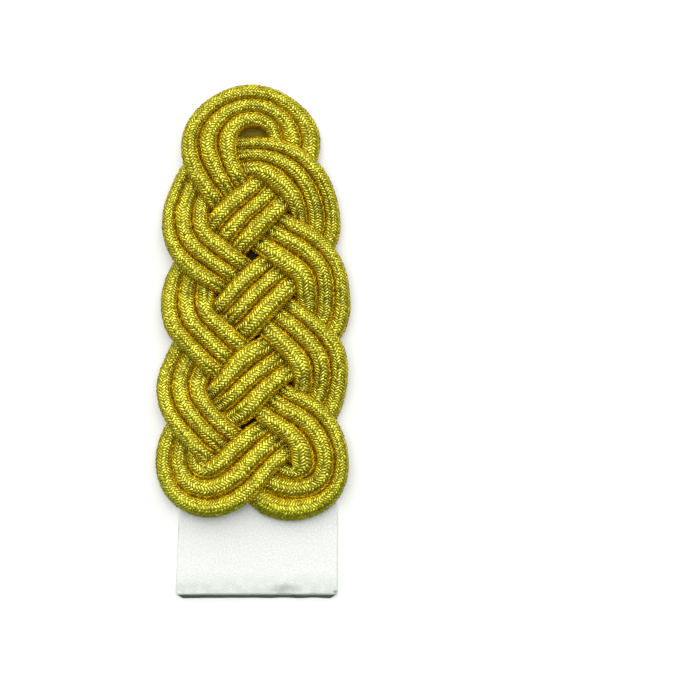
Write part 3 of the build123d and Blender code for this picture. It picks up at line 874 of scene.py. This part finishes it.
def felt_outline():
    """Points at small steps around the felt, from its neck round by the lower edge."""
    neck = KNOT_MIDDLE + NECK_UP * KNOT_LENGTH
    waist = KNOT_MIDDLE - WAIST_DOWN * KNOT_LENGTH
    left, right = TONGUE_SHIFT - TONGUE_WIDTH / 2, TONGUE_SHIFT + TONGUE_WIDTH / 2
    corners = [(-NECK_WIDTH / 2, neck), (left, LOWER_EDGE + TONGUE_CORNER)]
    turns = np.linspace(0, math.pi / 2, CORNER_STEPS + 1)[1:-1]
    for middle, side in ((left + TONGUE_CORNER, -1), (right - TONGUE_CORNER, 1)):
        arc = [
            (
                middle + side * TONGUE_CORNER * math.cos(t),
                LOWER_EDGE + TONGUE_CORNER - TONGUE_CORNER * math.sin(t),
            )
            for t in turns
        ]
        foot = (middle, LOWER_EDGE)
        corners += [*arc, foot] if side < 0 else [foot, *arc[::-1]]
    corners += [(right, LOWER_EDGE + TONGUE_CORNER), (right, waist), (NECK_WIDTH / 2, neck)]
    corners += [
        (NECK_WIDTH / 2 * math.cos(t), neck + NECK_WIDTH / 2 * math.sin(t))
        for t in np.linspace(0, math.pi, NECK_STEPS + 1)[1:-1]
    ]
    points = []
    for start, end in zip(corners, corners[1:] + corners[:1]):
        start, end = np.array(start), np.array(end)
        steps = max(1, round(np.linalg.norm(end - start) / OUTLINE_STEP))
        points += [start + (end - start) * k / steps for k in range(steps)]
    return np.array(points)


def slot_outline():
    """Points around the slot in the felt for the shank of the button."""
    middle = KNOT_MIDDLE + EYE_UP * KNOT_LENGTH
    reach = (EYE_LENGTH - EYE_WIDTH) / 2
    turns = np.linspace(0, 2 * math.pi, SLOT_STEPS + 1)[:-1] + math.pi / SLOT_STEPS
    ends = np.where(np.cos(turns) > 0, reach, -reach)
    across = ends + EYE_WIDTH / 2 * np.cos(turns)
    return np.column_stack([across, middle + EYE_WIDTH / 2 * np.sin(turns)])


def inside_loop(points, loop):
    """Whether each point is inside a closed loop."""
    found = np.zeros(len(points), bool)
    for start, end in zip(loop, np.roll(loop, -1, axis=0)):
        spans = (start[1] > points[:, 1]) != (end[1] > points[:, 1])
        rise = end[1] - start[1] if end[1] != start[1] else 1.0
        at = start[0] + (points[:, 1] - start[1]) / rise * (end[0] - start[0])
        found ^= spans & (points[:, 0] < at)
    return found


def distance_to(points, loop):
    """Distance of each point from a closed loop's points, which lie close together."""
    return np.sqrt(((points[:, None] - loop[None]) ** 2).sum(axis=2).min(axis=1))


def felt_plan(outline, slot):
    """Points and triangles of the felt seen from above, closer together along its outline."""
    heading = np.roll(outline, -1, axis=0) - np.roll(outline, 1, axis=0)
    heading /= np.linalg.norm(heading, axis=1)[:, None]
    inward = np.column_stack([-heading[:, 1], heading[:, 0]])
    rings = [outline, *(outline + inward * depth for depth in RIM_RINGS)]
    across, along = np.arange(*GRID_ACROSS, GRID_STEP), np.arange(*GRID_ALONG, GRID_STEP)
    grid = np.stack(np.meshgrid(across, along), axis=-1).reshape(-1, 2)
    clear = inside_loop(grid, outline) & ~inside_loop(grid, slot)
    clear &= (distance_to(grid, outline) > RINGS_ROOM) & (distance_to(grid, slot) > SLOT_ROOM)
    flat = np.concatenate([*rings, slot, grid[clear]])
    edges = []
    for loop, first in ((outline, 0), (slot, len(outline) * len(rings))):
        edges += [(first + k, first + (k + 1) % len(loop)) for k in range(len(loop))]
    inside_only, same_place = 1, 1e-5
    made = delaunay_2d_cdt([Vector(p) for p in flat], edges, [], inside_only, same_place)
    flat = np.array([tuple(p) for p in made[0]])
    faces = [tuple(f) for f in made[2]]
    middles = np.array([flat[list(f)].mean(axis=0) for f in faces])
    return flat, [f for f, hole in zip(faces, inside_loop(middles, slot)) if not hole]


def felt_backing():
    """The felt: a sheet with a rounded upper rim, a slot, and a lower end cut on a slant."""
    outline, slot = felt_outline(), slot_outline()
    ragged_at = [Vector((x / RAGGED_LENGTH, y / RAGGED_LENGTH, 2.0)) for x, y in outline]
    ragged = RAGGED_HEIGHT * np.array([noise.noise(place) for place in ragged_at])
    outline[:, 1] += np.where(outline[:, 1] < LOWER_EDGE + CUT_BAND, ragged, 0.0)
    flat, faces = felt_plan(outline, slot)
    count = len(flat)

    depth = np.minimum(distance_to(flat, outline), FELT_EDGE_ROUND)
    drop = FELT_EDGE_ROUND - np.sqrt(FELT_EDGE_ROUND**2 - (FELT_EDGE_ROUND - depth) ** 2)
    sag_at = [Vector((x / SAG_LENGTH, y / SAG_LENGTH, 0.0)) for x, y in flat]
    sag = [SAG_DEPTH * abs(noise.noise(place)) for place in sag_at]
    top = np.column_stack([flat, FELT_THICKNESS - drop - sag])
    bottom = np.column_stack([flat, np.zeros(count)])
    slit = distance_to(flat, slot) < SAME_PLACE
    slot_middle = slot[:, 1].mean()
    top[slit, 1] = slot_middle + (top[slit, 1] - slot_middle) * SLIT_SHARE
    lower = np.nonzero(flat[:, 1] < LOWER_EDGE + RAGGED_HEIGHT)[0]
    off_side = TONGUE_WIDTH / 2 - np.abs(flat[lower, 0] - TONGUE_SHIFT)
    share = np.clip(off_side / CUT_TAPER, 0, 1)
    bottom[lower, 1] -= CUT_SLANT * share * (3 - 2 * share) * share

    # The side wall stands along the edges that only one triangle has.
    edges = dict.fromkeys(pair for face in faces for pair in zip(face, face[1:] + face[:1]))
    rim = [pair for pair in edges if pair[::-1] not in edges]
    walls = [(two, one, one + count, two + count) for one, two in rim]
    under = [tuple(v + count for v in reversed(f)) for f in faces]
    mesh = bpy.data.meshes.new("felt_backing_cloth")
    mesh.from_pydata(np.concatenate([top, bottom]) * MM, [], faces + under + walls)
    mesh.update()

    # Painted shade under the knot, inside the felt's edges and above the tongue
    off_edge = np.clip((distance_to(flat, outline) - SHADE_INSET) / SHADE_EDGE_FADE, 0, 1)
    above_tongue = np.clip((flat[:, 1] - SHADE_LOW_END) / SHADE_LOW_FADE, 0, 1)
    knot_shade = np.concatenate([off_edge * above_tongue, np.zeros(count)])
    mesh.attributes.new("knot_shade", "FLOAT", "POINT").data.foreach_set("value", knot_shade)
    return placed("felt_backing_cloth", mesh)


def white_felt():
    """Pressed wool felt: matte and white, with short tangled fibres. It is greyer towards the lower
    end, has a painted shadow along its slanted cut end, and has painted shade under the knot, dark
    in the gaps and olive under the eye."""
    material, tree = new_material("white wool felt")
    smooth = {"interpolation_type": "SMOOTHSTEP"}
    place = add(tree, "ShaderNodeTexCoord", None, "Object")
    along = add(tree, SEPARATE, {0: place}, "Y")
    patchy = {"Vector": place, "Scale": 1 / (GREY_PATCH_SIZE * MM), "Detail": 2.0}
    patchy = add(tree, PATTERN, patchy)
    fibre = {"Vector": place, "Scale": 1 / (TUFT_SIZE * MM), "Detail": 4.0}
    fibre = add(tree, PATTERN, fibre)

    def spot_share(spot):
        """1 in the middle of an oval spot, fading to 0 at its rim."""
        middle = (spot.across * MM, spot.along * MM, FELT_THICKNESS * MM)
        halves = (spot.half_across, spot.half_along, SPOT_DEPTH)
        offset = add(tree, VECTOR_MATH, {0: place, 1: middle}, operation="SUBTRACT")
        scale = tuple(1 / (half * MM) for half in halves)
        scaled = add(tree, VECTOR_MATH, {0: offset, 1: scale}, operation="MULTIPLY")
        reach = add(tree, VECTOR_MATH, {0: scaled}, "Value", operation="LENGTH")
        return add(tree, MAP_RANGE, dict(enumerate((reach, *SPOT_FADE))), **smooth)

    wander = {0: patchy, 1: CUT_SHADOW_WANDER * MM, 2: along}
    near_cut = add(tree, MATH, wander, operation="MULTIPLY_ADD")
    greyed, grey_patches, tufts, blotched, cut_shadow, by_eye = (
        add(tree, MAP_RANGE, dict(enumerate((value, *fade))), **smooth)
        for value, fade in (
            (along, LOWER_GREYING),
            (patchy, GREY_PATCHES),
            (fibre, TUFTS),
            (patchy, BLOTCH_PATCHES),
            (near_cut, CUT_SHADOW),
            (along, EYE_SHADE),
        )
    )
    greyed = add(tree, MATH, {0: greyed, 1: grey_patches}, operation="MULTIPLY")
    blotched = add(tree, MATH, {0: spot_share(BLOTCH), 1: blotched}, operation="MULTIPLY")
    # Painted shade under the knot, dark in its gaps and olive with reflected gold under the eye
    knot_shaded = add(tree, ATTRIBUTE, None, "Fac", attribute_name="knot_shade")
    knot_shade_colours = {"Factor": by_eye, 6: linear(GAP_SHADE_COLOUR), 7: linear(EYE_SHADE_COLOUR)}
    knot_shade = add(tree, MIX, knot_shade_colours, 2, data_type="RGBA")

    # Each layer lies over the ones before it.
    colour = linear(FELT_COLOUR)
    for share, over in (
        (tufts, linear(TUFT_COLOUR)),
        (greyed, linear(LOWER_GREY_COLOUR)),
        (blotched, linear(BLOTCH.colour)),
        *((spot_share(spot), linear(spot.colour)) for spot in SMALL_SPOTS),
        (cut_shadow, linear(CUT_SHADOW_COLOUR)),
        (knot_shaded, knot_shade),
    ):
        layers = {"Factor": share, 6: colour, 7: over}
        colour = add(tree, MIX, layers, 2, data_type="RGBA")
    fuzz = {"Height": fibre, "Strength": 0.7, "Distance": TUFT_DEPTH * MM}
    bump = add(tree, "ShaderNodeBump", fuzz)
    looks = {"Base Color": colour, "Roughness": 0.95, "Normal": bump, "Specular IOR Level": 0.2}
    add(tree, OUTPUT, {"Surface": add(tree, PRINCIPLED, looks)}, None)
    return material


def paper():
    """Uncoated white paper under the board, which is matte and a little grey."""
    material, tree = new_material("matte white paper")
    looks = {"Base Color": linear(PAPER_COLOUR), "Roughness": 0.9}
    add(tree, OUTPUT, {"Surface": add(tree, PRINCIPLED, looks)}, None)
    return material


# The cords
curves = band_curves()
crossings = cord_levels(curves)
room_shares = [np.array([getattr(s, side) for s in ROUTE]) for side in ("left", "middle", "right")]
braid = braid_tree()
yarn, core = gilt_yarn(), cord_core()
shared_values = {name: value for name, _, value in BRAID_INPUTS if value is not None}
for index, name in enumerate(("cord_inner", "cord_middle", "cord_outer")):
    # The side on which a cord has no neighbour: -1 for its left, 1 for its right, 0 for neither
    open_side = index - 1
    points, section = cord_path(curves[index], crossings[index], room_shares[index], open_side)
    run = np.linalg.norm(np.roll(points, -1, axis=0) - points, axis=1).sum()
    rows = round(run / (FLOAT_PITCH * MM))
    values = {"Rows": rows, "Seed": FIRST_SEED + index, "Thread": yarn, "Core": core}
    piece = braided_cord(name + "_braid", points, section, braid, shared_values | values)
    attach(piece, "root")
    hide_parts(name)

# The felt backing
felt = felt_backing()
felt.data.materials.append(white_felt())
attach(felt, "root")
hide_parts("felt_backing")

# The floor, the light and the camera
bpy.ops.mesh.primitive_plane_add(size=FLOOR_SIZE * MM, location=(0, 0, -FLOOR_DROP * MM))
floor = bpy.context.object
floor.name = "floor"
floor.data.materials.append(paper())

world = bpy.data.worlds.new("pale studio")
bpy.context.scene.world = world
world.use_nodes = True
background = world.node_tree.nodes["Background"].inputs
background["Color"].default_value = (1, 1, 1, 1)
background["Strength"].default_value = WORLD_LIGHT
heading = add(world.node_tree, "ShaderNodeTexCoord", None, "Generated")
towards_top = add(world.node_tree, SEPARATE, {0: heading}, "Y")
start, end, low, high = WORLD_SHARES
brighter = {0: towards_top, 1: start, 2: end, 3: low * WORLD_LIGHT, 4: high * WORLD_LIGHT}
world.node_tree.links.new(add(world.node_tree, MAP_RANGE, brighter), background["Strength"])

for name, azimuth, elevation, wide, strength in LAMPS:
    lamp = bpy.data.lights.new(name, "SUN")
    lamp.angle = math.radians(wide)
    lamp.energy = strength
    holder = placed(name, lamp)
    holder.rotation_euler = (math.radians(90 - elevation), 0, math.radians(90 + azimuth))

camera_data = bpy.data.cameras.new("camera")
camera = placed("camera", camera_data)
bpy.context.scene.camera = camera
camera.location = (VIEW_CENTRE[0] * MM, VIEW_CENTRE[1] * MM, CAMERA_HEIGHT * MM)
camera_data.lens = camera_data.sensor_width * (CAMERA_HEIGHT - VIEW_PLANE) / VIEW_WIDTH
camera_data.clip_end = FARTHEST * MM
bpy.context.scene.view_settings.view_transform = "Standard"
